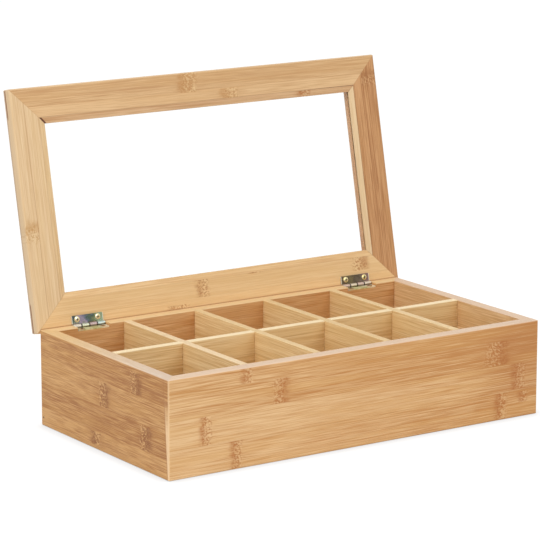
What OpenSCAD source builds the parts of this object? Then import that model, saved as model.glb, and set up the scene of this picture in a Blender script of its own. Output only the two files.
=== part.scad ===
// Tea bag box with ten compartments and a hinged, windowed lid.
// Four mitred bamboo walls stand round a bottom panel. One long divider and four cross dividers
// lock together in an egg-crate. The lid is a mitred frame with a clear pane held by beads, and it
// swings on two small butt hinges. Millimetres, +Z up, origin under the middle of the box.
// The lid is drawn standing open, where its back edge bears on the back of the box.

/* [Box] */
// Outer width of the box, left to right
box_w = 360; // [280:1:440]
// Outer depth of the box, front to back
box_d = 198; // [150:1:260]
// Height of the walls
box_h = 80; // [60:1:110]
// Thickness of the walls
wall_t = 10.8; // [9.5:0.1:14]
// Thickness of the bottom panel
bottom_t = 4; // [3:0.1:8]
// Width of the rebate in the walls that takes the bottom panel
bottom_seat = 5; // [3:0.1:7]
// Rounding on the outer edges of the walls
wall_round = 1.5; // [1:0.1:1.8]

/* [Dividers] */
// Thickness of the dividers
divider_t = 6.5; // [4:0.1:10]
// Clearance at the ends of the dividers and in their crossed slots
divider_clear = 0.1; // [0.05:0.01:0.5]

/* [Lid] */
// How far the lid stands out past the box at the sides and the front
lid_overhang = 2.5; // [0:0.1:6]
// Thickness of the lid frame
lid_t = 10; // [8:0.1:16]
// Width of the lid frame's rails
rail_w = 30.5; // [26:0.5:50]
// Rounding on the outer edges of the lid
lid_round = 2; // [0.5:0.1:3]
// Gap between the closed lid and the top of the back wall
seat_gap = 1; // [0.4:0.1:1.4]
// Angle that the open lid leans back from upright
open_lean = 12; // [5:0.5:20]

/* [Window] */
// Thickness of the clear pane
pane_t = 2; // [1.5:0.1:4]
// Width of the rebate that takes the pane and its beads
pane_seat = 5; // [4:0.1:8]
// Thickness of a bead against the rail
bead_t = 2.1; // [1.6:0.1:3]
// Thickness of a bead at the window
bead_lip = 0.9; // [0.5:0.1:1.5]
// Clearance round the edge of the pane
pane_clear = 0.3; // [0.1:0.1:1]

/* [Hinges] */
// Distance of each hinge's middle from the side of the box
hinge_inset = 45; // [30:1:90]
// Length of a hinge
hinge_l = 29.6; // [24:0.1:36]
// Distance from the pin's axis to the outer edge of a leaf
leaf_reach = 8.8; // [8.3:0.1:10]
// Thickness of a leaf
leaf_t = 1; // [0.8:0.1:1.2]
// Outer diameter of the knuckles
knuckle_d = 3.6; // [3.2:0.1:4.4]
// Diameter of the hinge pin
pin_d = 1.6; // [1.2:0.1:1.8]
// Gap between neighbouring knuckles
knuckle_gap = 0.3; // [0.2:0.05:0.6]

/* [Screws] */
// Diameter of a screw's head
head_d = 5; // [4:0.1:6]
// Height of the raised top of a screw's head
head_rise = 0.5; // [0.3:0.1:0.7]
// Diameter of a screw's shank
shank_d = 2.6; // [2:0.1:3]
// Length of a screw below the top of the leaf
screw_l = 8; // [6:0.1:9]
// Distance between the two screws of a leaf
screw_gap = 19.6; // [14:0.1:22]
// Distance from the pin's axis to the screws
screw_reach = 5.6; // [5.2:0.1:6]

/* [Hidden] */
$fn = 48;

// Sides of a mitred frame, each a quarter turn from the one before
FRONT = 0;
RIGHT = 1;
BACK = 2;
LEFT = 3;

// Clearances and small features
cut_over = 1;           // how far a cutting shape runs past the face it opens
screw_clear = 0.05;     // radial clearance of a screw in its leaf and its pilot hole
pin_clear = 0.05;       // radial clearance of a pin in its knuckles
bead_clear = 0.1;       // gap in the mitres of the beads
bottom_clear = 0.1;     // clearance round the bottom panel
notch_clear = 0.5;      // clearance at each end of a hinge in its notch
knuckle_clear = 0.3;    // clearance between a knuckle and what it turns past
stop_clear = 0.1;       // clearance left at the open stop
inner_ease = 0.6;       // rounding on the inner top edges of the walls
divider_ease = 0.6;     // rounding on the top edges of the dividers
window_ease = 1;        // rounding on the window's edge on top of the lid
leaf_corner = 1;        // rounding on the corners of a leaf
pin_head_l = 0.25;      // length of a pin's peened end
pin_play = 0.05;        // gap between a pin's peened end and the outermost knuckle
recess_w = 0.7;         // width of one arm of a screw's cross recess
recess_l = 2.8;         // length of one arm of a screw's cross recess
recess_depth = 0.9;     // depth of a screw's cross recess
tip_l = 1.6;            // length of a screw's point

// Box
inner_w = box_w - 2 * wall_t;
inner_d = box_d - 2 * wall_t;
columns = 5;
compartment_w = (inner_w - (columns - 1) * divider_t) / columns;
divider_h = box_h - bottom_t;
lap_z = bottom_t + divider_h / 2;

// Hinge line. The leaves stand off the axis by a knuckle's radius and its clearance.
hinge_x = box_w / 2 - hinge_inset;
knuckle_r = knuckle_d / 2;
leaf_offset = knuckle_r + knuckle_clear;
knuckles = 4;
knuckle_l = (hinge_l - (knuckles - 1) * knuckle_gap) / knuckles;
// Setback of the axis from the back of the box, so that the open lid's rounded edge meets it
stop_rounding = lid_round * (sin(open_lean) + cos(open_lean) - 1);
setback = (leaf_offset * cos(open_lean) + stop_rounding - stop_clear) / (1 + sin(open_lean));
axis_y = box_d / 2 - setback;
axis_z = box_h + seat_gap - leaf_offset;
notch_depth = box_h - axis_z + leaf_offset;

// Lid
lid_w = box_w + 2 * lid_overhang;
lid_d = box_d + lid_overhang;
window_w = lid_w - 2 * rail_w;
window_d = lid_d - 2 * rail_w;
seat_w = window_w + 2 * pane_seat;
seat_d = window_d + 2 * pane_seat;
seat_depth = bead_t + pane_t;

// Middle of cross divider number i, counted from the left
function divider_x(i) = -inner_w / 2 + i * compartment_w + (i - 0.5) * divider_t;

// ---------------------------------------------------------------- shared shapes

// What a rounded corner at the origin takes off a rectangle that lies in the first quadrant
module corner_bite(r) {
    difference() {
        translate([-r, -r]) square(2 * r);
        translate([r, r]) circle(r);
        translate([r, -r]) square(2 * r);
        translate([-r, r]) square(2 * r);
    }
}

// Rectangle with its four corners rounded one by one, from the origin and then counterclockwise
module eased_rectangle(w, h, radii) {
    corners = [[0, 0], [w, 0], [w, h], [0, h]];
    difference() {
        square([w, h]);
        for (i = [0 : 3])
            if (radii[i] > 0) translate(corners[i]) rotate(90 * i) corner_bite(radii[i]);
    }
}

// One side of a mitred w by d frame. The child is the side's section: its x runs inwards from
// the outer face and its y runs up. The ends are cut at 45 degrees, and gap opens both mitres.
module mitred_side(side, w, d, reach, gap = 0) {
    span = side % 2 == 0 ? w : d;
    depth = side % 2 == 0 ? d : w;
    outer = span / 2 - gap;
    tall = 4 * box_h;
    rotate(90 * side) intersection() {
        translate([0, -depth / 2, 0]) rotate([90, 0, 90]) linear_extrude(span, center = true) children();
        translate([0, -depth / 2, 0]) linear_extrude(tall, center = true)
            polygon([[-outer, 0], [outer, 0], [outer - reach, reach], [reach - outer, reach]]);
    }
}

// Block with rounded upright corners, to trim the corners of a mitred frame
module upright_corners(w, d, h, r) {
    linear_extrude(h) translate([-w / 2, -d / 2]) eased_rectangle(w, d, [r, r, r, r]);
}

// Places its children at the pin's axis of the hinge at x, with the lid closed
module at_hinge(x) {
    translate([x, axis_y, axis_z]) children();
}

// Swings what belongs to the lid from closed to open, about the hinge line
module opened() {
    translate([0, axis_y, axis_z]) rotate([-90 - open_lean, 0, 0]) translate([0, -axis_y, -axis_z])
        children();
}

// ---------------------------------------------------------------- box

// Section of a wall, with the rebate for the bottom panel
module wall_section() {
    difference() {
        eased_rectangle(wall_t, box_h, [wall_round, 0, inner_ease, wall_round]);
        translate([wall_t - bottom_seat, -cut_over]) square([bottom_seat + cut_over, bottom_t + cut_over]);
    }
}

module wall(side) {
    intersection() {
        mitred_side(side, box_w, box_d, wall_t) wall_section();
        upright_corners(box_w, box_d, box_h, wall_round);
    }
}

module front_panel() {
    color([0.86, 0.69, 0.50]) wall(FRONT);
}

module right_panel() {
    color([0.84, 0.66, 0.47]) wall(RIGHT);
}

module left_panel() {
    color([0.82, 0.64, 0.45]) wall(LEFT);
}

// Notch across the top of the back wall for one hinge
module hinge_notch() {
    notch_l = hinge_l + 2 * notch_clear;
    translate([-notch_l / 2, box_d / 2 - wall_t - cut_over, box_h - notch_depth])
        cube([notch_l, wall_t + 2 * cut_over, notch_depth + cut_over]);
}

// The back wall has a notch and two pilot holes for each hinge
module back_panel() {
    color([0.80, 0.60, 0.42]) difference() {
        wall(BACK);
        for (x = [-hinge_x, hinge_x]) {
            translate([x, 0, 0]) hinge_notch();
            below_axis(x) pilot_holes();
        }
    }
}

module bottom_panel() {
    w = inner_w + 2 * bottom_seat - 2 * bottom_clear;
    d = inner_d + 2 * bottom_seat - 2 * bottom_clear;
    color([0.85, 0.68, 0.49]) translate([-w / 2, -d / 2, 0]) cube([w, d, bottom_t]);
}

// Plain divider that lies along X, with its two top edges eased
module divider(length) {
    translate([0, 0, bottom_t]) rotate([90, 0, 90]) linear_extrude(length, center = true)
        translate([-divider_t / 2, 0])
            eased_rectangle(divider_t, divider_h, [0, 0, divider_ease, divider_ease]);
}

// Slot that half-laps two dividers, run along Y through a divider that lies along X
module lap_slot(from_z) {
    slot_w = divider_t + 2 * divider_clear;
    translate([-slot_w / 2, -divider_t, from_z]) cube([slot_w, 2 * divider_t, box_h]);
}

// The long divider is slotted from its top edge down to half its height
module long_divider() {
    color([0.86, 0.70, 0.51]) difference() {
        divider(inner_w - 2 * divider_clear);
        for (i = [1 : columns - 1])
            translate([divider_x(i), 0, 0]) lap_slot(lap_z - divider_clear / 2);
    }
}

// A cross divider is slotted from its bottom edge up to half its height
module cross_divider(i) {
    color([0.88, 0.71, 0.52]) translate([divider_x(i), 0, 0]) rotate(90) difference() {
        divider(inner_d - 2 * divider_clear);
        lap_slot(lap_z + divider_clear / 2 - box_h);
    }
}

// ---------------------------------------------------------------- hinges and screws

// Left end of knuckle number k along the hinge
function knuckle_x(k) = -hinge_l / 2 + k * (knuckle_l + knuckle_gap);

// Flat plate of a leaf, rounded at the two corners away from the pin
module leaf_plate() {
    translate([-hinge_l / 2, -leaf_reach, leaf_offset - leaf_t]) linear_extrude(leaf_t)
        eased_rectangle(hinge_l, leaf_reach - leaf_offset, [leaf_corner, leaf_corner, 0, 0]);
}

// One knuckle: a ring round the pin, and the strip that rolls into it from the plate
module knuckle(k) {
    inner_z = leaf_offset - leaf_t;
    translate([knuckle_x(k), 0, 0]) rotate([90, 0, 90]) linear_extrude(knuckle_l) {
        circle(knuckle_r);
        polygon([
            [-leaf_offset - leaf_t, inner_z],
            [0, inner_z],
            [0, knuckle_r],
            [-knuckle_r / 2, leaf_offset],
            [-leaf_offset - leaf_t, leaf_offset]
        ]);
    }
}

// A leaf above the pin's axis, with every second knuckle from number first
module leaf(first) {
    difference() {
        union() {
            leaf_plate();
            for (k = [first : 2 : knuckles - 1]) knuckle(k);
        }
        rotate([0, 90, 0]) cylinder(d = pin_d + 2 * pin_clear, h = 2 * hinge_l, center = true);
        at_screws() screw_hole();
    }
}

// Each screw's place, with +Z running down the screw from the top of the leaf
module at_screws() {
    for (x = [-screw_gap / 2, screw_gap / 2])
        translate([x, -screw_reach, leaf_offset - leaf_t]) children();
}

// Shape that a screw's cone and shank need in the leaf and the wood
module screw_hole() {
    head_r = head_d / 2 + screw_clear;
    hole_r = shank_d / 2 + screw_clear;
    cylinder(r1 = head_r, r2 = hole_r, h = leaf_t);
    translate([0, 0, leaf_t]) cylinder(r = hole_r, h = screw_l - leaf_t);
    translate([0, 0, -cut_over]) cylinder(r = head_r, h = cut_over);
}

// Pilot holes in the wood behind a leaf
module pilot_holes() {
    hole_r = shank_d / 2 + screw_clear;
    at_screws() translate([0, 0, leaf_t - cut_over]) cylinder(r = hole_r, h = screw_l - leaf_t + cut_over);
}

// A wood screw with a raised countersunk head and a cross recess
module screw() {
    dome_r = (pow(head_d / 2, 2) + pow(head_rise, 2)) / (2 * head_rise);
    shank_l = screw_l - leaf_t - tip_l;
    difference() {
        union() {
            rotate_extrude() intersection() {
                translate([0, dome_r - head_rise]) circle(dome_r, $fn = 128);
                translate([0, -head_rise]) square([head_d / 2, head_rise]);
            }
            cylinder(d1 = head_d, d2 = shank_d, h = leaf_t);
            translate([0, 0, leaf_t]) cylinder(d = shank_d, h = shank_l);
            translate([0, 0, leaf_t + shank_l]) cylinder(d1 = shank_d, d2 = shank_d / 4, h = tip_l);
        }
        for (turn = [0, 90])
            rotate(turn) translate([-recess_l / 2, -recess_w / 2, -head_rise - cut_over])
                cube([recess_l, recess_w, recess_depth + cut_over]);
    }
}

// What belongs to the box lies below the axis, so it is turned over about the pin
module below_axis(x) {
    at_hinge(x) mirror([0, 0, 1]) children();
}

module box_leaf(x) {
    color([0.62, 0.62, 0.42]) below_axis(x) leaf(0);
}

module box_screws(x) {
    color([0.88, 0.82, 0.58]) below_axis(x) at_screws() screw();
}

module lid_leaf(x) {
    color([0.50, 0.52, 0.44]) opened() at_hinge(x) leaf(1);
}

module lid_screws(x) {
    color([0.90, 0.85, 0.62]) opened() at_hinge(x) at_screws() screw();
}

// Pin with a peened end just outside the first and the last knuckle
module pin(x) {
    body_l = hinge_l + 2 * pin_play;
    head_r = (pin_d / 2 + knuckle_r) / 2;
    color([0.80, 0.76, 0.66]) at_hinge(x) rotate([0, 90, 0]) {
        cylinder(d = pin_d, h = body_l + 2 * pin_head_l, center = true);
        for (end = [-1, 1])
            translate([0, 0, end * (body_l + pin_head_l) / 2])
                cylinder(r = head_r, h = pin_head_l, center = true);
    }
}

// ---------------------------------------------------------------- lid

// Places a frame drawn round the origin with its underside at 0 where the closed lid lies
module lid_place() {
    translate([0, -lid_overhang / 2, axis_z + leaf_offset]) children();
}

// Section of a rail, with the rebate for the pane and its bead on the underside
module rail_section() {
    difference() {
        eased_rectangle(rail_w, lid_t, [lid_round, 0, window_ease, lid_round]);
        translate([rail_w - pane_seat, -cut_over]) square([pane_seat + cut_over, seat_depth + cut_over]);
    }
}

module rail(side) {
    lid_place() intersection() {
        mitred_side(side, lid_w, lid_d, rail_w) rail_section();
        upright_corners(lid_w, lid_d, lid_t, lid_round);
    }
}

module lid_front_rail() {
    color([0.82, 0.65, 0.47]) opened() rail(FRONT);
}

module lid_right_rail() {
    color([0.78, 0.58, 0.38]) opened() rail(RIGHT);
}

module lid_left_rail() {
    color([0.89, 0.77, 0.60]) opened() rail(LEFT);
}

// The back rail has two pilot holes for each hinge
module lid_back_rail() {
    color([0.87, 0.71, 0.51]) opened() difference() {
        rail(BACK);
        for (x = [-hinge_x, hinge_x]) at_hinge(x) pilot_holes();
    }
}

module window_pane() {
    w = seat_w - 2 * pane_clear;
    d = seat_d - 2 * pane_clear;
    color([0.90, 0.95, 0.96, 0.3]) opened() lid_place() translate([-w / 2, -d / 2, bead_t]) cube([w, d, pane_t]);
}

// Section of a bead: flush with the rail at its outer side and thinner at the window
module bead_section() {
    polygon([[0, 0], [pane_seat, bead_t - bead_lip], [pane_seat, bead_t], [0, bead_t]]);
}

module bead(side) {
    color([0.88, 0.78, 0.60]) opened() lid_place()
        mitred_side(side, seat_w, seat_d, pane_seat, bead_clear) bead_section();
}

// ---------------------------------------------------------------- nodes

front_panel();
right_panel();
back_panel();
left_panel();
bottom_panel();
long_divider();
cross_divider(1);  // cross_divider_1
cross_divider(2);  // cross_divider_2
cross_divider(3);  // cross_divider_3
cross_divider(4);  // cross_divider_4
box_leaf(-hinge_x);  // left_hinge_box_leaf
box_leaf(hinge_x);  // right_hinge_box_leaf
pin(-hinge_x);  // left_hinge_pin
pin(hinge_x);  // right_hinge_pin
box_screws(-hinge_x);  // left_hinge_box_screws
box_screws(hinge_x);  // right_hinge_box_screws
lid_front_rail();
lid_right_rail();
lid_back_rail();
lid_left_rail();
window_pane();
bead(FRONT);  // front_bead
bead(RIGHT);  // right_bead
bead(BACK);  // back_bead
bead(LEFT);  // left_bead
lid_leaf(-hinge_x);  // left_hinge_lid_leaf
lid_leaf(hinge_x);  // right_hinge_lid_leaf
lid_screws(-hinge_x);  // left_hinge_lid_screws
lid_screws(hinge_x);  // right_hinge_lid_screws
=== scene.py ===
import math
import bpy
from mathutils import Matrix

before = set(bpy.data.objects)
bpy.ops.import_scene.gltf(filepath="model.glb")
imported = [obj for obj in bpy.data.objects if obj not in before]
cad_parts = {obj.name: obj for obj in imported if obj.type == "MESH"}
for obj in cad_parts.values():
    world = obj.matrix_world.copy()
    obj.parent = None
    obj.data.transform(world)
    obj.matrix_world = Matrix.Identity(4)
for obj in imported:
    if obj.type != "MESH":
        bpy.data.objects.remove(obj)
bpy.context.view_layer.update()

# Camera
# A long lens stands to the front left of the open box and a little above it.
# It is aimed by its height angle and its turn, level with the table.
camera_place = (-1.2993, -1.9113, 0.6308)
camera_drop = math.radians(12.32)
camera_turn = math.radians(-33.78)
sensor_width = 36
lens_length = 193.07
camera_data = bpy.data.cameras.new("camera")
camera_data.sensor_width = sensor_width
camera_data.lens = lens_length
camera = bpy.data.objects.new("camera", camera_data)
camera.location = camera_place
camera.rotation_euler = (math.pi / 2 - camera_drop, 0, camera_turn)
bpy.context.scene.collection.objects.link(camera)
bpy.context.scene.camera = camera
bpy.context.scene.view_settings.view_transform = "Standard"


# Table top and surroundings
# A plain white table that runs far back, under an even white surround.
# Both show white to the camera, in metal and through the pane, and the table keeps part of the box's
# shadow, with a painted contact shadow near the box.
table_side = 14
table_white = (0.80, 0.80, 0.80, 1)
table_shade = (0.15, 0.15, 0.15, 1)
table_glow = 0.92
contact_reach = 0.013
contact_shade = 0.42
surround_white = (1, 1, 1, 1)
surround_strength = 0.72


def new_finish(name):
    """A new material and its node tree."""
    finish = bpy.data.materials.new(name)
    finish.use_nodes = True
    return finish, finish.node_tree


def feed(tree, socket, term):
    """Link a term to a socket, or set it there as a plain number or colour."""
    if isinstance(term, bpy.types.NodeSocket):
        tree.links.new(term, socket)
    else:
        socket.default_value = term


def work_out(tree, operation, *terms, clamp=False):
    """One step of arithmetic on numbers."""
    step = tree.nodes.new("ShaderNodeMath")
    step.operation = operation
    step.use_clamp = clamp
    for socket, term in zip(step.inputs, terms):
        feed(tree, socket, term)
    return step.outputs[0]


def seen_directly(tree):
    """1 for the camera and for what metal and glass show, 0 for the light that falls on things."""
    ray = tree.nodes.new("ShaderNodeLightPath").outputs
    mirrored = work_out(tree, "MAXIMUM", ray["Is Glossy Ray"], ray["Is Transmission Ray"])
    return work_out(tree, "MAXIMUM", ray["Is Camera Ray"], mirrored)


bpy.ops.object.select_all(action="DESELECT")
bpy.ops.mesh.primitive_plane_add(size=table_side, location=(0, 0, 0))
table = bpy.context.object
table.name = "table_top"
table_finish, tree = new_finish("white_table")
tree.nodes.clear()
lit_side = tree.nodes.new("ShaderNodeBsdfDiffuse")
lit_side.inputs["Color"].default_value = table_white
shade_side = tree.nodes.new("ShaderNodeBsdfDiffuse")
shade_side.inputs["Color"].default_value = table_shade
glow = tree.nodes.new("ShaderNodeEmission")
# Painted contact shadow: an ambient occlusion node darkens the table's glow near the box.
painted_shadow_nearness = tree.nodes.new("ShaderNodeAmbientOcclusion")
painted_shadow_nearness.inputs["Distance"].default_value = contact_reach
unshadowed_share = work_out(tree, "MULTIPLY_ADD", painted_shadow_nearness.outputs["AO"], contact_shade, 1 - contact_shade)
tree.links.new(work_out(tree, "MULTIPLY", unshadowed_share, table_glow), glow.inputs["Strength"])
shown = tree.nodes.new("ShaderNodeAddShader")
tree.links.new(shade_side.outputs[0], shown.inputs[0])
tree.links.new(glow.outputs[0], shown.inputs[1])
choice = tree.nodes.new("ShaderNodeMixShader")
tree.links.new(seen_directly(tree), choice.inputs[0])
tree.links.new(lit_side.outputs[0], choice.inputs[1])
tree.links.new(shown.outputs[0], choice.inputs[2])
table_output = tree.nodes.new("ShaderNodeOutputMaterial")
tree.links.new(choice.outputs[0], table_output.inputs["Surface"])
table.data.materials.append(table_finish)

surround = bpy.data.worlds.new("white_surround")
bpy.context.scene.world = surround
surround.use_nodes = True
tree = surround.node_tree
strength = work_out(tree, "MULTIPLY", seen_directly(tree), 1 - surround_strength)
strength = work_out(tree, "ADD", strength, surround_strength)
background = tree.nodes["Background"]
background.inputs["Color"].default_value = surround_white
tree.links.new(strength, background.inputs["Strength"])


# Studio lamps
# Two broad soft lamps: one at the front right for the front and the lid, and one high at the left.
# The left one lights the top edges and reaches down into the compartments.
def soft_lamp(name, place, aim, width, watts):
    """A round lamp at its place, turned to face its aim."""
    lamp_data = bpy.data.lights.new(name, "AREA")
    lamp_data.shape = "DISK"
    lamp_data.size = width
    lamp_data.energy = watts
    lamp = bpy.data.objects.new(name, lamp_data)
    lamp.location = place
    direction = [a - p for a, p in zip(aim, place)]
    flat = math.hypot(direction[0], direction[1])
    lamp.rotation_euler = (math.atan2(flat, -direction[2]), 0, math.atan2(-direction[0], direction[1]))
    bpy.context.scene.collection.objects.link(lamp)


box_middle = (0, 0, 0.12)
soft_lamp("front_lamp", place=(0.45, -1.9, 1.15), aim=box_middle, width=1.3, watts=10.5)
soft_lamp("left_lamp", place=(-1.6, -0.25, 1.4), aim=box_middle, width=1.2, watts=17)


# Front panel
# A board of wide bamboo strips glued edge to edge, sanded and given a thin satin oil.
# Its ends are mitred and its top edge is painted paler than its face, as painted light on the top.
box_half_length = 180
box_half_depth = 99
box_height = 80


def paint(red, green, blue):
    """A colour given as it is seen, 0 to 255, for a shader."""
    shares = [part / 255 for part in (red, green, blue)]
    linear = [s / 12.92 if s < 0.04045 else ((s + 0.055) / 1.055) ** 2.4 for s in shares]
    return (*linear, 1)


def paints(*colours):
    """Several colours given as they are seen."""
    return tuple(paint(*colour) for colour in colours)


# Bamboo's light, middle, dark and golden tones, and a node's brown and cream.
bamboo_tones = paints((230, 191, 141), (214, 168, 115), (192, 134, 76), (214, 164, 98))
bamboo_node_tones = paints((176, 108, 52), (232, 196, 147))
glue_brown = paint(165, 112, 66)
# A painted highlight's cream, for the rounded upright corners and the sliver beside the left panel's glue
# line.
edge_highlight_cream = paint(236, 202, 158)

# The length and width of the streaks that make up bamboo's grain, in millimetres.
broad_streak = (180.0, 6.0)
narrow_streak = (75.0, 0.95)
single_fibre = (30.0, 0.62)
dark_dash = (24.0, 0.62)
golden_patch = (110.0, 9.0)
node_wave = (9.0, 5.0)
node_speck = (2.0, 1.4)

# How far the grain jumps by chance between strips, and how far it moves on from board to board.
strip_jump = 60.0
board_step = 11.7
chance_step = 7.31

# How far a node and its marks reach along their strip, in millimetres.
node_zone = 16.0
far_from_nodes = 100.0
node_reach = 14.0
node_wobble = 5.0
band_offset = 2.8
band_half_width = 5.5
core_half_width = 6.5
pale_side_offset = 1.6
pale_side_half_width = 5.0

# How strongly each streak or mark shows in the wood's colour.
broad_share = 0.14
dash_share = 0.45
golden_share = 0.30
band_share = 0.52
dark_speck_share = 0.72
pale_speck_share = 0.44

seam_half_width = 0.5
mitre_half_width = 0.75
satin_roughness = 0.4


def in_millimetres(tree, place=(0, 0, 0), tilt=0):
    """Where a point is on the piece, in millimetres from place, with the piece's own tilt taken out."""
    spot = tree.nodes.new("ShaderNodeTexCoord")
    measure = tree.nodes.new("ShaderNodeMapping")
    measure.vector_type = "TEXTURE"
    measure.inputs["Location"].default_value = [part / 1000 for part in place]
    measure.inputs["Rotation"].default_value = (tilt, 0, 0)
    measure.inputs["Scale"].default_value = (0.001, 0.001, 0.001)
    tree.links.new(spot.outputs["Object"], measure.inputs["Vector"])
    split = tree.nodes.new("ShaderNodeSeparateXYZ")
    tree.links.new(measure.outputs[0], split.inputs[0])
    return dict(zip("XYZ", split.outputs))


def scaled(tree, terms, sizes):
    """Each term divided by the grain's size that way."""
    return [work_out(tree, "DIVIDE", term, size) for term, size in zip(terms, sizes)]


def grain(tree, along, across, deep, detail=2.0):
    """Cloudy grain, 0 to 1, at the sizes its three coordinates were divided by."""
    spot = tree.nodes.new("ShaderNodeCombineXYZ")
    for socket, term in zip(spot.inputs, (along, across, deep)):
        feed(tree, socket, term)
    cloud = tree.nodes.new("ShaderNodeTexNoise")
    cloud.inputs["Scale"].default_value = 1
    cloud.inputs["Detail"].default_value = detail
    cloud.inputs["Roughness"].default_value = 0.6
    tree.links.new(spot.outputs[0], cloud.inputs["Vector"])
    return cloud.outputs[0]


def ease(tree, term, start, stop):
    """0 at start, 1 at stop, smooth between them."""
    step = tree.nodes.new("ShaderNodeMapRange")
    step.interpolation_type = "SMOOTHSTEP"
    feed(tree, step.inputs["Value"], term)
    step.inputs["From Min"].default_value = start
    step.inputs["From Max"].default_value = stop
    return step.outputs[0]


def at_edge(tree, term, edge, start, full):
    """0 until a point is start short of the edge, 1 from full short of it, in millimetres."""
    return ease(tree, term, edge - start, edge - full)


def product(tree, first, *others):
    """Terms multiplied together."""
    for other in others:
        first = work_out(tree, "MULTIPLY", first, other)
    return first


def gap_to(tree, term, spot):
    """How far a term is from a spot, to either side."""
    return work_out(tree, "ABSOLUTE", work_out(tree, "SUBTRACT", term, spot))


def tint(tree, share, under, over):
    """One colour over another, by its share."""
    coat = tree.nodes.new("ShaderNodeMix")
    coat.data_type = "RGBA"
    feed(tree, coat.inputs[0], share)
    feed(tree, coat.inputs[6], under)
    feed(tree, coat.inputs[7], over)
    return coat.outputs[2]


def strip_numbers(tree, across, seams):
    """The number of the bamboo strip, counted over its glue seams."""
    count = 0.0
    for seam in seams:
        count = work_out(tree, "ADD", count, work_out(tree, "GREATER_THAN", across, seam))
    return count


def strip_shift(tree, across, seams, number):
    """How far the grain is shifted, by chance, in each strip of the board with this number."""
    strip = strip_numbers(tree, across, seams)
    chance = tree.nodes.new("ShaderNodeTexWhiteNoise")
    chance.noise_dimensions = "1D"
    feed(tree, chance.inputs["W"], work_out(tree, "ADD", strip, number * chance_step))
    lot = tree.nodes.new("ShaderNodeSeparateColor")
    tree.links.new(chance.outputs["Color"], lot.inputs[0])
    return work_out(tree, "ADD", product(tree, lot.outputs[0], strip_jump), number * board_step)


def strip_tone(tree, across, seams, tones):
    """How much paler or browner each strip is than its board."""
    tone = tones[0]
    for seam, before, after in zip(seams, tones, tones[1:]):
        past = work_out(tree, "GREATER_THAN", across, seam)
        tone = work_out(tree, "MULTIPLY_ADD", past, after - before, tone)
    return tone


def seam_line(tree, across, seams):
    """1 on a glue seam between two strips."""
    line = 0.0
    for seam in seams:
        gap = gap_to(tree, across, seam)
        line = work_out(tree, "MAXIMUM", line, ease(tree, gap, seam_half_width, seam_half_width / 3))
    return line


def way_to_node(tree, along, across, nodes):
    """How far a point is along its strip from the strip's node, or far from all of them."""
    nearest = far_from_nodes
    for spot_along, spot_across, height, spread in nodes:
        way = work_out(tree, "DIVIDE", work_out(tree, "SUBTRACT", along, spot_along), spread)
        near = work_out(tree, "COMPARE", way, 0.0, node_zone)
        inside = work_out(tree, "COMPARE", across, spot_across, height / 2)
        joined = tree.nodes.new("ShaderNodeMix")
        feed(tree, joined.inputs[0], product(tree, near, inside))
        feed(tree, joined.inputs[2], nearest)
        feed(tree, joined.inputs[3], way)
        nearest = joined.outputs[0]
    return nearest


def round_nodes(tree, along, across, nodes, shift):
    """A board's nodes: the way to the nearest, made wavy, how near it is, and the fibres' bulge."""
    wave = grain(tree, *scaled(tree, (along, across), node_wave), shift)
    wobble = product(tree, work_out(tree, "SUBTRACT", wave, 0.5), node_wobble)
    way = work_out(tree, "ADD", way_to_node(tree, along, across, nodes), wobble)
    off_node = work_out(tree, "ABSOLUTE", way)
    near = ease(tree, off_node, node_reach, 3.0)
    bulge = product(tree, near, product(tree, wobble, 0.5))
    return {"wave": wave, "wobble": wobble, "way": way, "off": off_node, "near": near, "bulge": bulge}


def fibre_colour(tree, tone, tones):
    """The colour of the fibres, from dark at the tone 0.40 to light at 0.60."""
    light, middle, dark = tones[:3]
    fibre_colours = tree.nodes.new("ShaderNodeValToRGB")
    ramp = fibre_colours.color_ramp
    ramp.elements[0].position = 0.40
    ramp.elements[0].color = dark
    ramp.elements[1].position = 0.60
    ramp.elements[1].color = light
    ramp.elements.new(0.50).color = middle
    tree.links.new(tone, fibre_colours.inputs[0])
    return fibre_colours.outputs[0]


def mark_nodes(tree, colour, along, across, shift, shape, dashes, dark, node_tones):
    """A node: a brown band on one side, then pale and brown specks in short wavy rows."""
    brown, cream = node_tones
    wavy_across = work_out(tree, "ADD", across, shape["wobble"])
    speckle = grain(tree, *scaled(tree, (along, wavy_across), node_speck), shift)
    off_band = work_out(tree, "ABSOLUTE", work_out(tree, "ADD", shape["way"], band_offset))
    band = product(tree, ease(tree, off_band, band_half_width, 0.5), ease(tree, shape["wave"], 0.25, 0.6))
    core = ease(tree, shape["off"], core_half_width, 2.5)
    dark_speck = product(tree, core, ease(tree, speckle, 0.50, 0.40))
    pale_side = ease(tree, gap_to(tree, shape["way"], pale_side_offset), pale_side_half_width, 1.5)
    pale_speck = product(tree, pale_side, ease(tree, speckle, 0.50, 0.62))
    flame = product(tree, shape["near"], work_out(tree, "MULTIPLY_ADD", dashes, 0.35, 0.10))
    colour = tint(tree, flame, colour, dark)
    colour = tint(tree, product(tree, band, band_share), colour, brown)
    colour = tint(tree, product(tree, dark_speck, dark_speck_share), colour, brown)
    colour = tint(tree, product(tree, pale_speck, pale_speck_share), colour, cream)
    return colour, dark_speck


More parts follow.
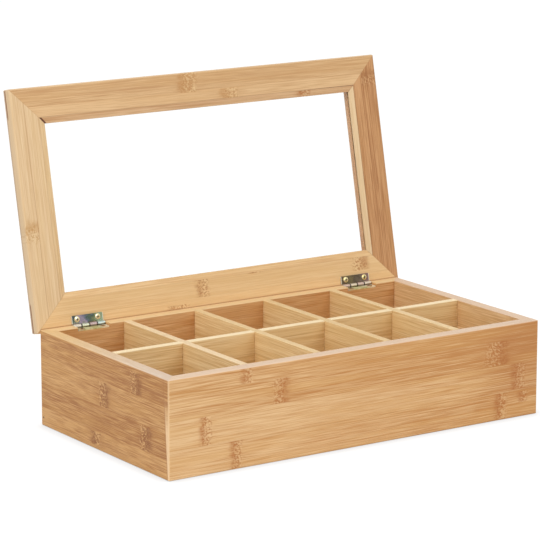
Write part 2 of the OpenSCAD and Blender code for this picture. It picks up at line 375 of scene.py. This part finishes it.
def satin_oil(tree, narrow, single, dark_speck, seam):
    """A thin satin oil over the raised fibres, which dips at the specks and the glue seams."""
    shader = tree.nodes["Principled BSDF"]
    shader.inputs["IOR"].default_value = 1.47
    shader.inputs["Specular IOR Level"].default_value = 0.35
    rough = work_out(tree, "MULTIPLY_ADD", narrow, 0.25, satin_roughness)
    tree.links.new(rough, shader.inputs["Roughness"])
    height = work_out(tree, "MULTIPLY_ADD", single, 0.5, narrow)
    height = work_out(tree, "MULTIPLY_ADD", dark_speck, -0.8, height)
    height = work_out(tree, "MULTIPLY_ADD", seam, -0.6, height)
    relief = tree.nodes.new("ShaderNodeBump")
    relief.inputs["Strength"].default_value = 0.35
    relief.inputs["Distance"].default_value = 0.0003
    tree.links.new(height, relief.inputs["Height"])
    tree.links.new(relief.outputs[0], shader.inputs["Normal"])


def bamboo(name, number, run="X", rise="Z", seams=(), nodes=(), tones=bamboo_tones,
           node_tones=bamboo_node_tones, place=(0, 0, 0), tilt=0, strip_tones=(0.0,), drift=0.0,
           fibre_length=1.0, fine_share=0.40, seam_share=0.08):
    """Glued bamboo strips with their fibres, nodes and seams. It returns what the edges still need.

    run and rise are the axes along and across the strips, and number gives the board its own grain.
    strip_tones make strips paler or browner, and drift does it little by little along the board.
    """
    dark, golden = tones[2:]
    finish, tree = new_finish(name)
    at = in_millimetres(tree, place, tilt)
    along, across = at[run], at[rise]
    deep = at[({"X", "Y", "Z"} - {run, rise}).pop()]
    shift = strip_shift(tree, across, seams, number)
    shape = round_nodes(tree, along, across, nodes, shift)
    fibre_line = work_out(tree, "ADD", across, shape["bulge"])

    def fibres(size, detail=2.0):
        """Streaks of one size, shifted in each strip."""
        length, width = size
        run_share = work_out(tree, "ADD", work_out(tree, "DIVIDE", along, length * fibre_length), shift)
        rise_share = work_out(tree, "ADD", work_out(tree, "DIVIDE", fibre_line, width), shift)
        return grain(tree, run_share, rise_share, work_out(tree, "DIVIDE", deep, width), detail)

    narrow = fibres(narrow_streak)
    single = fibres(single_fibre)
    dashes = ease(tree, fibres(dark_dash, detail=1.0), 0.54, 0.66)
    tone = product(tree, fibres(broad_streak), broad_share)
    tone = work_out(tree, "MULTIPLY_ADD", narrow, 1 - broad_share - fine_share, tone)
    tone = work_out(tree, "MULTIPLY_ADD", single, fine_share, tone)
    tone = work_out(tree, "MULTIPLY_ADD", along, drift, tone)
    tone = work_out(tree, "ADD", tone, strip_tone(tree, across, seams, strip_tones))
    colour = fibre_colour(tree, tone, tones)
    colour = tint(tree, product(tree, dashes, dash_share), colour, dark)
    golden_parts = ease(tree, fibres(golden_patch), 0.42, 0.66)
    colour = tint(tree, product(tree, golden_parts, golden_share), colour, golden)
    colour, dark_speck = mark_nodes(tree, colour, along, across, shift, shape, dashes, dark, node_tones)
    seam = seam_line(tree, across, seams)
    colour = tint(tree, product(tree, seam, seam_share), colour, glue_brown)
    satin_oil(tree, narrow, single, dark_speck, seam)
    return {"finish": finish, "tree": tree, "at": at, "colour": colour, "single": single}


def mitre_line(board, half_length, half_depth, middle_depth=0.0, share=0.45):
    """A fine dark line where two mitred ends meet."""
    tree, at = board["tree"], board["at"]
    from_end = work_out(tree, "SUBTRACT", half_length, work_out(tree, "ABSOLUTE", at["X"]))
    from_side = work_out(tree, "SUBTRACT", half_depth, gap_to(tree, at["Y"], middle_depth))
    line = ease(tree, gap_to(tree, from_end, from_side), mitre_half_width, mitre_half_width / 5)
    board["colour"] = tint(tree, product(tree, line, share), board["colour"], glue_brown)


def corner_highlight(board):
    """The box's upright corners, rounded by hand, with a painted highlight paler than the faces."""
    tree, at = board["tree"], board["at"]
    length = at_edge(tree, work_out(tree, "ABSOLUTE", at["X"]), box_half_length, 1.3, 0.7)
    depth = at_edge(tree, work_out(tree, "ABSOLUTE", at["Y"]), box_half_depth, 1.3, 0.7)
    board["colour"] = tint(tree, product(tree, length, depth, 0.55), board["colour"], edge_highlight_cream)


def top_painted_light(board, colour, back_colour=None):
    """A top edge painted in a colour of its own as painted light on the top, over fine pale lines where
    the strips show edge on. It may change colour to the back.
    """
    tree, at = board["tree"], board["at"]
    if back_colour:
        colour = tint(tree, ease(tree, at["Y"], -box_half_depth, box_half_depth), colour, back_colour)
    height = at_edge(tree, at["Z"], box_height, 0.9, 0.3)
    pale_lines = work_out(tree, "MULTIPLY_ADD", board["single"], -1.2, 1.45)
    share = work_out(tree, "MULTIPLY", height, pale_lines, clamp=True)
    board["colour"] = tint(tree, share, board["colour"], colour)


def brown_end(board, start, end, above, share):
    """The right end of the upper strips, made browner there."""
    tree, at = board["tree"], board["at"]
    length = ease(tree, at["X"], start, end)
    height = ease(tree, at["Z"], above - 3, above + 3)
    board["colour"] = tint(tree, product(tree, length, height, share), board["colour"], end_brown)


def give(piece, finish):
    """Put a finish on a piece."""
    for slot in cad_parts[piece].material_slots:
        slot.material = finish


def put_on(board, piece):
    """Put a board's finish, with the edges' colours, on its piece."""
    shader = board["tree"].nodes["Principled BSDF"]
    board["tree"].links.new(board["colour"], shader.inputs["Base Color"])
    give(piece, board["finish"])


# A node is given as its place along and across the board, the strip's width there, and its spread.
# A spread below zero turns the node's brown band to its other side.
end_brown = paint(168, 100, 48)
front_seams = (23, 46.5, 67)
front_nodes = (
    (-118, 12, 22, 1), (142, 12, 22, 1.2), (165, 17, 9, 1),
    (-146, 35, 23, 1), (160, 35, 22, 1.4),
    (-77, 57, 20, -1.4), (137, 57, 20, -2.3),
    (-108, 74, 13, 1),
)
front_board = bamboo(
    "bamboo_front_panel", number=1, seams=front_seams, nodes=front_nodes,
    strip_tones=(0.012, 0.035, -0.035, -0.05), drift=-0.00042, fibre_length=1.5, fine_share=0.66,
)
brown_end(front_board, start=105, end=160, above=front_seams[0], share=0.26)
mitre_line(front_board, box_half_length, box_half_depth)
corner_highlight(front_board)
top_painted_light(front_board, paint(225, 200, 175))
put_on(front_board, "front_panel")


# Left panel
# The same board as the front, from a browner run of strips, glued to it in a mitre. Its tones are also
# darker than the front's, as painted shade.
# Its lower front end shows a pale sliver beside the glue line, a painted highlight, and a pin hole with
# painted shade is left near its back end.
side_seams = (16, 37, 58)
side_strip_tones = (0.053, -0.045, 0.018, -0.04)
left_nodes = (
    (-50, 67, 18, 1.5), (-2, 47.5, 20, 1.5), (-65, 26.5, 20, 1.5), (10, 9, 11, -1.4),
)
pin_hole_shade = paint(70, 52, 38)
glue_start = 1.8
glue_lean = 0.07
sliver_top = 66
sliver_fade = 32
hole_depth = 95
hole_height = 7.3


def outer_face(tree, at):
    """1 on the panel's outer face, 0 behind it."""
    return ease(tree, at["X"], 1 - box_half_length, 0.4 - box_half_length)


def sliver_highlight(board):
    """A thin end of the front board beside the glue line, painted pale as the rounded corner's highlight.
    """
    tree, at = board["tree"], board["at"]
    from_front = work_out(tree, "ADD", at["Y"], box_half_depth)
    glue_at = work_out(tree, "MULTIPLY_ADD", at["Z"], glue_lean, glue_start)
    off_glue = work_out(tree, "SUBTRACT", from_front, glue_at)
    low = ease(tree, at["Z"], sliver_top, sliver_top - sliver_fade)
    outside = outer_face(tree, at)
    sliver = product(tree, ease(tree, off_glue, 0.3, -0.3), product(tree, low, outside))
    board["colour"] = tint(tree, product(tree, sliver, 0.8), board["colour"], edge_highlight_cream)
    line = product(tree, ease(tree, work_out(tree, "ABSOLUTE", off_glue), 0.9, 0.2), outside, 0.6)
    board["colour"] = tint(tree, line, board["colour"], glue_brown)


def radius(tree, first, second):
    """The distance from an axis."""
    squares = work_out(tree, "ADD", work_out(tree, "POWER", first, 2), work_out(tree, "POWER", second, 2))
    return work_out(tree, "SQRT", squares)


def pin_hole(board, depth, height):
    """A small hole where the clamp pin was drawn, painted dark as the shade inside it."""
    tree, at = board["tree"], board["at"]
    off_hole = radius(
        tree, work_out(tree, "SUBTRACT", at["Y"], depth), work_out(tree, "SUBTRACT", at["Z"], height)
    )
    hole = product(tree, ease(tree, off_hole, 1.1, 0.5), outer_face(tree, at))
    board["colour"] = tint(tree, hole, board["colour"], pin_hole_shade)


left_board = bamboo(
    "bamboo_left_panel", number=3, run="Y", seams=side_seams, nodes=left_nodes,
    tones=paints((204, 158, 103), (189, 142, 88), (158, 105, 57), (184, 134, 72)),
    node_tones=paints((132, 80, 40), (228, 186, 128)),
    strip_tones=side_strip_tones, drift=0.00025, fibre_length=0.75, fine_share=0.70,
)
mitre_line(left_board, box_half_length, box_half_depth)
sliver_highlight(left_board)
pin_hole(left_board, hole_depth, hole_height)
corner_highlight(left_board)
top_painted_light(left_board, paint(220, 200, 180), paint(230, 196, 144))
put_on(left_board, "left_panel")


# Right panel
# The other end of the box, made like the left panel.
inner_tones = paints((243, 211, 164), (232, 195, 144), (210, 167, 114), (224, 182, 122))
right_nodes = ((-60, 8, 15, 1.2), (34, 26, 20, -1.3), (-28, 26, 20, 1.2), (71, 8, 15, 1))
right_board = bamboo(
    "bamboo_right_panel", number=4, run="Y", seams=side_seams, nodes=right_nodes,
    tones=inner_tones, strip_tones=side_strip_tones,
)
mitre_line(right_board, box_half_length, box_half_depth)
corner_highlight(right_board)
top_painted_light(right_board, paint(222, 193, 166))
put_on(right_board, "right_panel")


# Back panel
# The back board carries the hinges in two notches of its top edge.
back_nodes = (
    (-70, 11, 22, 1), (96, 35, 22, -1.3), (-128, 35, 22, 1),
    (20, 11, 22, 1.2), (152, 11, 22, -1), (-16, 35, 22, 1.4),
)
back_board = bamboo(
    "bamboo_back_panel", number=5, seams=front_seams, nodes=back_nodes,
    tones=paints((230, 186, 134), (214, 164, 110), (192, 131, 72), (214, 160, 94)),
    strip_tones=(0.01, -0.02, 0.015, 0.0),
)
mitre_line(back_board, box_half_length, box_half_depth)
corner_highlight(back_board)
top_painted_light(back_board, paint(234, 203, 153))
put_on(back_board, "back_panel")


# Bottom panel
# A thin bamboo board let into the walls' rebates from below, with its strips along the box.
bottom_strip = 21
bottom_seams = range(-4 * bottom_strip, 4 * bottom_strip + 1, bottom_strip)
bottom_nodes = [
    (130 * math.sin(5.1 * seam), seam + bottom_strip / 2, bottom_strip - 1, 1) for seam in bottom_seams
]
bottom_strip_tones = [0.02 * math.sin(2.3 * order) for order in range(len(bottom_seams) + 1)]
bottom_board = bamboo(
    "bamboo_bottom_panel", number=6, rise="Y", seams=bottom_seams, nodes=bottom_nodes,
    tones=inner_tones, strip_tones=bottom_strip_tones,
)
put_on(bottom_board, "bottom_panel")


# Long divider
# A thin board down the middle of the box, slotted from above for the four cross dividers.
divider_tones = paints((244, 216, 165), (233, 200, 145), (211, 172, 115), (225, 187, 122))
divider_seams = (21, 42, 62)
divider_strip_tones = (-0.01, 0.02, -0.015, 0.01)
long_nodes = ((-124, 10, 19, 1), (52, 31, 19, -1), (8, 10, 19, 1.2), (120, 31, 20, 1.2))
long_board = bamboo(
    "bamboo_long_divider", number=7, seams=divider_seams, nodes=long_nodes,
    tones=divider_tones, strip_tones=divider_strip_tones,
)
top_painted_light(long_board, paint(246, 227, 188))
put_on(long_board, "long_divider")


# Cross dividers
# Four thin boards from front to back, slotted from below over the long divider.
cross_nodes = (
    ((-52, 31, 20, 1), (33, 10, 19, 1)),
    ((60, 10, 19, -1), (-20, 31, 20, 1.2)),
    ((-66, 10, 19, 1), (18, 31, 20, -1)),
    ((46, 31, 20, 1.2), (-36, 10, 19, -1)),
)
cross_tops = paints((233, 207, 168), (225, 195, 146), (223, 192, 142), (227, 198, 150))
for order, (nodes, top) in enumerate(zip(cross_nodes, cross_tops), start=1):
    cross_board = bamboo(
        f"bamboo_cross_divider_{order}", number=10 + order, run="Y", seams=divider_seams, nodes=nodes,
        tones=divider_tones, strip_tones=divider_strip_tones,
    )
    top_painted_light(cross_board, top)
    put_on(cross_board, f"cross_divider_{order}")


# Hinge leaves
# Stamped steel, plated and then passivated, which gives it uneven films of green, mauve and blue-grey.
# The box leaves lie screwed in the back wall's notches and the lid leaves on the lid's back rail.
hinge_line = (0, 97.074, 78.9)
lid_tilt = math.radians(-102)
hinge_middle = 135
leaf_half_length = 14.8
knuckle_radius = 1.8
knuckle_length = 7.4
film_length = 6.5
film_width = 6.0
film_step = 5.3
brush_mark = (3.0, 0.25, 0.25)
gap_shade_black = paint(48, 40, 34)
knuckle_underside_shade = paint(98, 82, 62)
sheared_edge_highlight = paint(214, 212, 198)


def from_hinge_middle(tree, at):
    """How far a point lies to the left or right of its own hinge's middle."""
    side = product(tree, work_out(tree, "SIGN", at["X"]), hinge_middle)
    return work_out(tree, "SUBTRACT", at["X"], side)


def metal(tree, colour, rough, relief_height, metallic=1.0):
    """Connect a metal's colour, gloss and brushed relief."""
    shader = tree.nodes["Principled BSDF"]
    shader.inputs["Metallic"].default_value = metallic
    tree.links.new(colour, shader.inputs["Base Color"])
    tree.links.new(rough, shader.inputs["Roughness"])
    relief = tree.nodes.new("ShaderNodeBump")
    relief.inputs["Strength"].default_value = 0.25
    relief.inputs["Distance"].default_value = 0.0001
    tree.links.new(relief_height, relief.inputs["Height"])
    tree.links.new(relief.outputs[0], shader.inputs["Normal"])


def in_bands(tree, share, colours, blend):
    """Colours side by side in bands of one width, sharp or running into each other."""
    bands = tree.nodes.new("ShaderNodeValToRGB")
    ramp = bands.color_ramp
    ramp.interpolation = blend
    ramp.elements[0].color = colours[0]
    ramp.elements[1].position = 1 / len(colours)
    ramp.elements[1].color = colours[1]
    for order, colour in enumerate(colours[2:], start=2):
        ramp.elements.new(order / len(colours)).color = colour
    feed(tree, bands.inputs[0], share)
    return bands.outputs[0]


def film_colour(tree, at, run, run_share, films, number):
    """The films on the flat leaf, which run unevenly into each other along it."""
    run_in_leaf = work_out(tree, "MULTIPLY_ADD", run, 1 / film_length, number * film_step)
    film = grain(tree, run_in_leaf, *scaled(tree, (at["Y"], at["Z"]), (film_width, film_width)), 3.0)
    film = work_out(tree, "MULTIPLY_ADD", work_out(tree, "SUBTRACT", film, 0.5), 0.9, run_share)
    return in_bands(tree, film, films, "LINEAR")


def knuckle_gap_shade(tree, colour, run, on_knuckle):
    """The joints between the knuckles, painted dark as the shade in their gaps."""
    joint = work_out(tree, "SUBTRACT", work_out(tree, "ABSOLUTE", run), knuckle_length)
    joint = work_out(tree, "MINIMUM", work_out(tree, "ABSOLUTE", joint), work_out(tree, "ABSOLUTE", run))
    in_gap = product(tree, ease(tree, joint, 0.9, 0.4), on_knuckle)
    return tint(tree, product(tree, in_gap, 0.85), colour, gap_shade_black)


def passivated_leaf(name, films, knuckles, number, tilt, metallic=0.75):
    """Films of colour on the flat leaf, worn paler on its knuckles, and bare where it was sheared, with a
    painted highlight on those ends.
    """
    finish, tree = new_finish(name)
    at = in_millimetres(tree, hinge_line, tilt)
    run = from_hinge_middle(tree, at)
    run_share = work_out(tree, "MULTIPLY_ADD", run, 0.5 / leaf_half_length, 0.5)
    off_pin = radius(tree, at["Y"], at["Z"])
    on_knuckle = ease(tree, off_pin, knuckle_radius + 0.5, knuckle_radius + 0.1)
    colour = film_colour(tree, at, run, run_share, films, number)
    colour = tint(tree, on_knuckle, colour, in_bands(tree, run_share, knuckles, "CONSTANT"))
    # Painted shade: the knuckles' undersides are darkened.
    underside = ease(tree, in_millimetres(tree, hinge_line)["Z"], 0.7, -0.6)
    colour = tint(tree, product(tree, underside, on_knuckle, 0.7), colour, knuckle_underside_shade)
    colour = knuckle_gap_shade(tree, colour, run, on_knuckle)
    # Bare sheared ends, painted pale, partly as a painted edge highlight.
    end = at_edge(tree, work_out(tree, "ABSOLUTE", run), leaf_half_length, 0.6, 0.3)
    sheared = product(tree, end, work_out(tree, "SUBTRACT", 1.0, on_knuckle))
    colour = tint(tree, sheared, colour, sheared_edge_highlight)
    brushed = grain(tree, *scaled(tree, (run, at["Y"], at["Z"]), brush_mark), 1.0)
    metal(tree, colour, work_out(tree, "MULTIPLY_ADD", brushed, 0.25, 0.22), brushed, metallic)
    return finish


left_lid_films = paints(
    (62, 72, 74), (108, 118, 92), (144, 130, 144), (98, 104, 120), (72, 88, 74), (106, 114, 78),
    (134, 150, 122),
)
right_lid_films = paints(
    (84, 60, 56), (98, 86, 60), (112, 100, 68), (86, 74, 58), (104, 92, 74), (126, 100, 92),
)
# The box leaves' films are painted bright, and the leaves made less metallic, as painted highlights on
# these upward faces.
box_films_and_highlights = paints((236, 206, 188), (206, 202, 134), (240, 236, 190), (198, 196, 124), (246, 238, 208))
pale_knuckles = paints((214, 206, 190), (204, 208, 184), (188, 166, 164), (190, 206, 200))
warm_knuckles = paints((200, 176, 160), (216, 202, 178), (202, 178, 164), (216, 200, 180))
hinges = (("left", left_lid_films, pale_knuckles), ("right", right_lid_films, warm_knuckles))
for number, (side, lid_films, knuckles) in enumerate(hinges, start=1):
    lid_leaf = passivated_leaf(f"{side}_lid_leaf_films", lid_films, knuckles, number, lid_tilt)
    give(f"{side}_hinge_lid_leaf", lid_leaf)
    box_leaf = passivated_leaf(f"{side}_box_leaf_films", box_films_and_highlights, knuckles, number + 2, 0, 0.45)
    give(f"{side}_hinge_box_leaf", box_leaf)


# Hinge pins
# A plain bright steel wire through each hinge's knuckles, peened over at both ends.
drawn_mark = (5.0, 0.3, 0.3)
pin_finish, tree = new_finish("bright_pin_wire")
at = in_millimetres(tree, hinge_line)
drawn_marks = grain(tree, *scaled(tree, at.values(), drawn_mark))
pin_colour = tint(tree, drawn_marks, paint(168, 162, 150), paint(228, 222, 208))
metal(tree, pin_colour, work_out(tree, "MULTIPLY_ADD", drawn_marks, 0.2, 0.2), drawn_marks)
for side in ("left", "right"):
    give(f"{side}_hinge_pin", pin_finish)


# Hinge screws
# Small raised countersunk screws, yellow passivated, two in each leaf, with painted shade in their cross
# recesses.
screw_half_gap = 9.8
screw_reach = 5.6
head_top = 0.6
head_rim = 2.2
recess_reach = 1.5
screw_film = (1.6, 1.6, 1.6)
recess_shade = paint(74, 54, 36)
bronze_tones = paints((176, 140, 92), (222, 190, 160), (120, 92, 62))
lid_screw_tones = {
    "left": paints((224, 210, 160), (248, 240, 212), (158, 136, 90)),
    "right": paints((196, 178, 118), (228, 214, 168), (150, 118, 74)),
}


def passivated_screws(name, tones, tilt):
    """Cloudy yellow heads with a darker rim, and painted shade down in the cross."""
    dull, bright, rim_tone = tones
    finish, tree = new_finish(name)
    at = in_millimetres(tree, hinge_line, tilt)
    run = work_out(tree, "ABSOLUTE", from_hinge_middle(tree, at))
    off_axis = radius(
        tree, work_out(tree, "SUBTRACT", run, screw_half_gap), work_out(tree, "ADD", at["Y"], screw_reach)
    )
    film = grain(tree, *scaled(tree, at.values(), screw_film))
    colour = tint(tree, ease(tree, film, 0.35, 0.65), dull, bright)
    depth = work_out(tree, "SUBTRACT", work_out(tree, "ABSOLUTE", at["Z"]), head_top)
    in_cross = ease(tree, off_axis, recess_reach + 0.1, recess_reach - 0.1)
    in_recess = product(tree, ease(tree, depth, 0.12, 0.30), in_cross)
    colour = tint(tree, in_recess, colour, recess_shade)
    rim = product(tree, ease(tree, off_axis, head_rim, head_rim + 0.3), 0.6)
    colour = tint(tree, rim, colour, rim_tone)
    metal(tree, colour, work_out(tree, "MULTIPLY_ADD", film, 0.2, 0.25), film)
    return finish


for side, gold_tones in lid_screw_tones.items():
    give(f"{side}_hinge_lid_screws", passivated_screws(f"{side}_lid_screw_gold", gold_tones, lid_tilt))
    give(f"{side}_hinge_box_screws", passivated_screws(f"{side}_box_screw_bronze", bronze_tones, 0))


# Lid rails
# Four mitred bamboo rails round the window, each from its own run of strips, with rounded outer edges.
# They are drawn as they lie on the closed box and turned back with the lid, so their grain turns too.
lid_overhang = 2.5
rail_width = 30.5
bead_width = 5
ply_seam = 8.2
crack_start = 74
lid_half_length = box_half_length + lid_overhang
lid_half_depth = box_half_depth + lid_overhang / 2
lid_middle = box_half_depth - hinge_line[1] - lid_half_depth
# Brown for cracked glue, and for painted shade in the gaps beside the beads.
gap_and_shade_brown = paint(120, 72, 40)
outer_grey = paint(178, 152, 126)
rim_highlight_cream = paint(238, 218, 186)
side_shade_cream = paint(198, 172, 138)
# Brown of a painted shadow where the open lid bears on the back wall.
contact_shadow_brown = paint(168, 112, 70)


def lid_board(name, number, run="X", rise="Y", **more):
    """A bamboo board of the lid, measured from the hinge line as it lies on the closed box."""
    board = bamboo(name, number, run=run, rise=rise, place=hinge_line, tilt=lid_tilt, **more)
    mitre_line(board, lid_half_length, lid_half_depth, lid_middle, share=0.2)
    return board


def inner_face(tree, at):
    """1 on the lid's inner face, 0 behind it."""
    return ease(tree, at["Z"], 5.0, 4.0)


def rounded_rim(board, colour, share):
    """The lid's outer edge, where sanding has cut across the strips, with painted light: a paler
    highlight on the rounding, and greyer painted shade on the left rail's side.
    """
    tree, at = board["tree"], board["at"]
    length = at_edge(tree, work_out(tree, "ABSOLUTE", at["X"]), lid_half_length, 1.6, 0.2)
    depth = at_edge(tree, gap_to(tree, at["Y"], lid_middle), lid_half_depth, 1.6, 0.2)
    rim = product(tree, work_out(tree, "MAXIMUM", length, depth), share)
    board["colour"] = tint(tree, rim, board["colour"], colour)


def bead_gap(board, run, share, wider_from=None):
    """The gap on the inner face, between a rail and the bead beside it, painted dark as the shade in it.
    It may open to the right.
    """
    tree, at = board["tree"], board["at"]
    if run == "X":
        from_edge = work_out(tree, "SUBTRACT", lid_half_depth, gap_to(tree, at["Y"], lid_middle))
    else:
        from_edge = work_out(tree, "SUBTRACT", lid_half_length, work_out(tree, "ABSOLUTE", at["X"]))
    off_bead = gap_to(tree, from_edge, rail_width - bead_width)
    line = product(tree, ease(tree, off_bead, 1.0, 0.3), inner_face(tree, at))
    if wider_from is not None:
        wider = ease(tree, at["X"], wider_from, wider_from + 100)
        share = work_out(tree, "MULTIPLY_ADD", wider, 0.9 - share, share)
    board["colour"] = tint(tree, product(tree, line, share), board["colour"], gap_and_shade_brown)


def contact_shadow_line(board):
    """A painted shadow: a brown line on the back rail's inner face, where the open lid bears on the back
    wall.
    """
    tree, at = board["tree"], board["at"]
    off_line = work_out(tree, "ABSOLUTE", work_out(tree, "ADD", at["Y"], 1.0))
    line = product(tree, ease(tree, off_line, 1.5, 0.6), inner_face(tree, at), 0.62)
    board["colour"] = tint(tree, line, board["colour"], contact_shadow_brown)


def side_seam(board):
    """The rail's two plies from the side: the outer one greyer, and their glue cracked at both ends."""
    tree, at = board["tree"], board["at"]
    outside = at_edge(tree, work_out(tree, "ABSOLUTE", at["X"]), lid_half_length, 0.8, 0.1)
    outer_ply = product(tree, outside, ease(tree, at["Z"], ply_seam - 0.2, ply_seam + 0.8), 0.75)
    board["colour"] = tint(tree, outer_ply, board["colour"], outer_grey)
    seam = ease(tree, gap_to(tree, at["Z"], ply_seam), 1.1, 0.4)
    cracked = ease(tree, gap_to(tree, at["Y"], lid_middle), crack_start, crack_start + 4)
    crack = product(tree, seam, outside, cracked, 0.9)
    board["colour"] = tint(tree, crack, board["colour"], gap_and_shade_brown)


front_rail_board = lid_board(
    "bamboo_lid_front_rail", number=21, seams=(-182.5,),
    nodes=((-12, -190, 17, 1.8), (29, -177.6, 8.5, 1.7)),
    tones=paints((223, 185, 137), (208, 168, 120), (194, 149, 101), (207, 162, 106)),
    node_tones=paints((186, 134, 78), (238, 208, 154)),
    strip_tones=(0.0, 0.09), fibre_length=1.3, fine_share=0.6,
)
rounded_rim(front_rail_board, rim_highlight_cream, 0.4)
bead_gap(front_rail_board, "X", 0.35, wider_from=70)
put_on(front_rail_board, "lid_front_rail")

left_rail_board = lid_board(
    "bamboo_lid_left_rail", number=22, run="Y", rise="X", seams=(-170,), nodes=((-80, -177, 15, 1.6),),
    tones=paints((230, 202, 160), (221, 189, 146), (210, 174, 128), (218, 184, 132)),
    node_tones=paints((190, 142, 82), (238, 210, 162)),
    strip_tones=(0.055, 0.045), drift=0.0003, seam_share=0.40,
)
rounded_rim(left_rail_board, side_shade_cream, 0.7)
side_seam(left_rail_board)
bead_gap(left_rail_board, "Y", 0.15)
put_on(left_rail_board, "lid_left_rail")

back_rail_nodes = (
    (-20, -18, 19, 1.2), (-114, -26, 5, 1.6), (34, -25, 5, 1.2), (142, -19, 14, -1.5),
    (-47, -2.5, 5, 2.4),
)
back_rail_board = lid_board(
    "bamboo_lid_back_rail", number=23, seams=(-9,), nodes=back_rail_nodes,
    tones=paints((235, 201, 150), (230, 193, 140), (222, 182, 128), (226, 188, 130)),
    node_tones=paints((180, 122, 70), (240, 210, 160)),
    strip_tones=(0.01, -0.01),
)
rounded_rim(back_rail_board, rim_highlight_cream, 0.3)
contact_shadow_line(back_rail_board)
bead_gap(back_rail_board, "X", 0.08)
put_on(back_rail_board, "lid_back_rail")

right_rail_board = lid_board(
    "bamboo_lid_right_rail", number=24, run="Y", rise="X", seams=(168,), nodes=((-178, 174, 15, 1.2),),
    tones=paints((210, 161, 112), (197, 146, 97), (162, 108, 62), (188, 137, 84)),
    node_tones=paints((160, 106, 60), (218, 174, 124)),
    strip_tones=(0.01, -0.01), seam_share=0.65,
)
rounded_rim(right_rail_board, rim_highlight_cream, 0.3)
bead_gap(right_rail_board, "Y", 0.5)
put_on(right_rail_board, "lid_right_rail")


# Window pane
# A clear sheet, two millimetres thick, that lies in a rebate round the lid's opening.
# It lets light straight through, with a faint cool tint and very light wipe marks.
cool_tint = (0.985, 0.995, 0.99, 1)
wipe_size = (60.0, 22.0, 60.0)
wipe_roughness = 0.03
pane_finish, tree = new_finish("clear_pane")
at = in_millimetres(tree, hinge_line, lid_tilt)
wipe = grain(tree, *scaled(tree, at.values(), wipe_size), 3.0)
clear = tree.nodes["Principled BSDF"]
clear.inputs["Base Color"].default_value = cool_tint
clear.inputs["Transmission Weight"].default_value = 1
clear.inputs["IOR"].default_value = 1.49
tree.links.new(product(tree, wipe, wipe_roughness), clear.inputs["Roughness"])
see_through = tree.nodes.new("ShaderNodeBsdfTransparent")
light_through = tree.nodes.new("ShaderNodeMixShader")
lamp_ray = tree.nodes.new("ShaderNodeLightPath").outputs["Is Shadow Ray"]
tree.links.new(lamp_ray, light_through.inputs[0])
tree.links.new(clear.outputs[0], light_through.inputs[1])
tree.links.new(see_through.outputs[0], light_through.inputs[2])
tree.links.new(light_through.outputs[0], tree.nodes["Material Output"].inputs["Surface"])
give("window_pane", pane_finish)


# Window beads
# Thin bamboo strips, mitred and glued over the pane's edge to hold it in the rebate.
# The front one's mitre was cut a little short at the left.
open_mitre_shade = paint(96, 54, 36)


def open_mitre(board):
    """The wedge of a mitre that stands open at the window's corner, painted dark as the shade in the gap.
    """
    tree, at = board["tree"], board["at"]
    from_end = work_out(tree, "ADD", at["X"], lid_half_length)
    from_side = work_out(tree, "SUBTRACT", lid_half_depth, gap_to(tree, at["Y"], lid_middle))
    wedge = ease(tree, gap_to(tree, from_end, from_side), 2.2, 1.5)
    board["colour"] = tint(tree, wedge, board["colour"], open_mitre_shade)


bead_nodes = {"front_bead": ((105, -170.5, 6, 1.4),)}
bead_tones = {
    "front_bead": paints((226, 188, 144), (213, 173, 129), (194, 147, 102), (206, 164, 114)),
    "right_bead": paints((232, 205, 165), (223, 194, 151), (208, 174, 131), (218, 187, 140)),
    "back_bead": paints((236, 202, 152), (228, 190, 138), (212, 168, 116), (222, 182, 124)),
    "left_bead": paints((236, 206, 160), (226, 194, 146), (212, 174, 124), (220, 184, 130)),
}
for number, (bead, tones) in enumerate(bead_tones.items(), start=31):
    run, rise = ("X", "Y") if bead in ("front_bead", "back_bead") else ("Y", "X")
    bead_board = lid_board(
        f"bamboo_{bead}", number, run, rise, nodes=bead_nodes.get(bead, ()), tones=tones
    )
    if bead == "front_bead":
        open_mitre(bead_board)
    put_on(bead_board, bead)
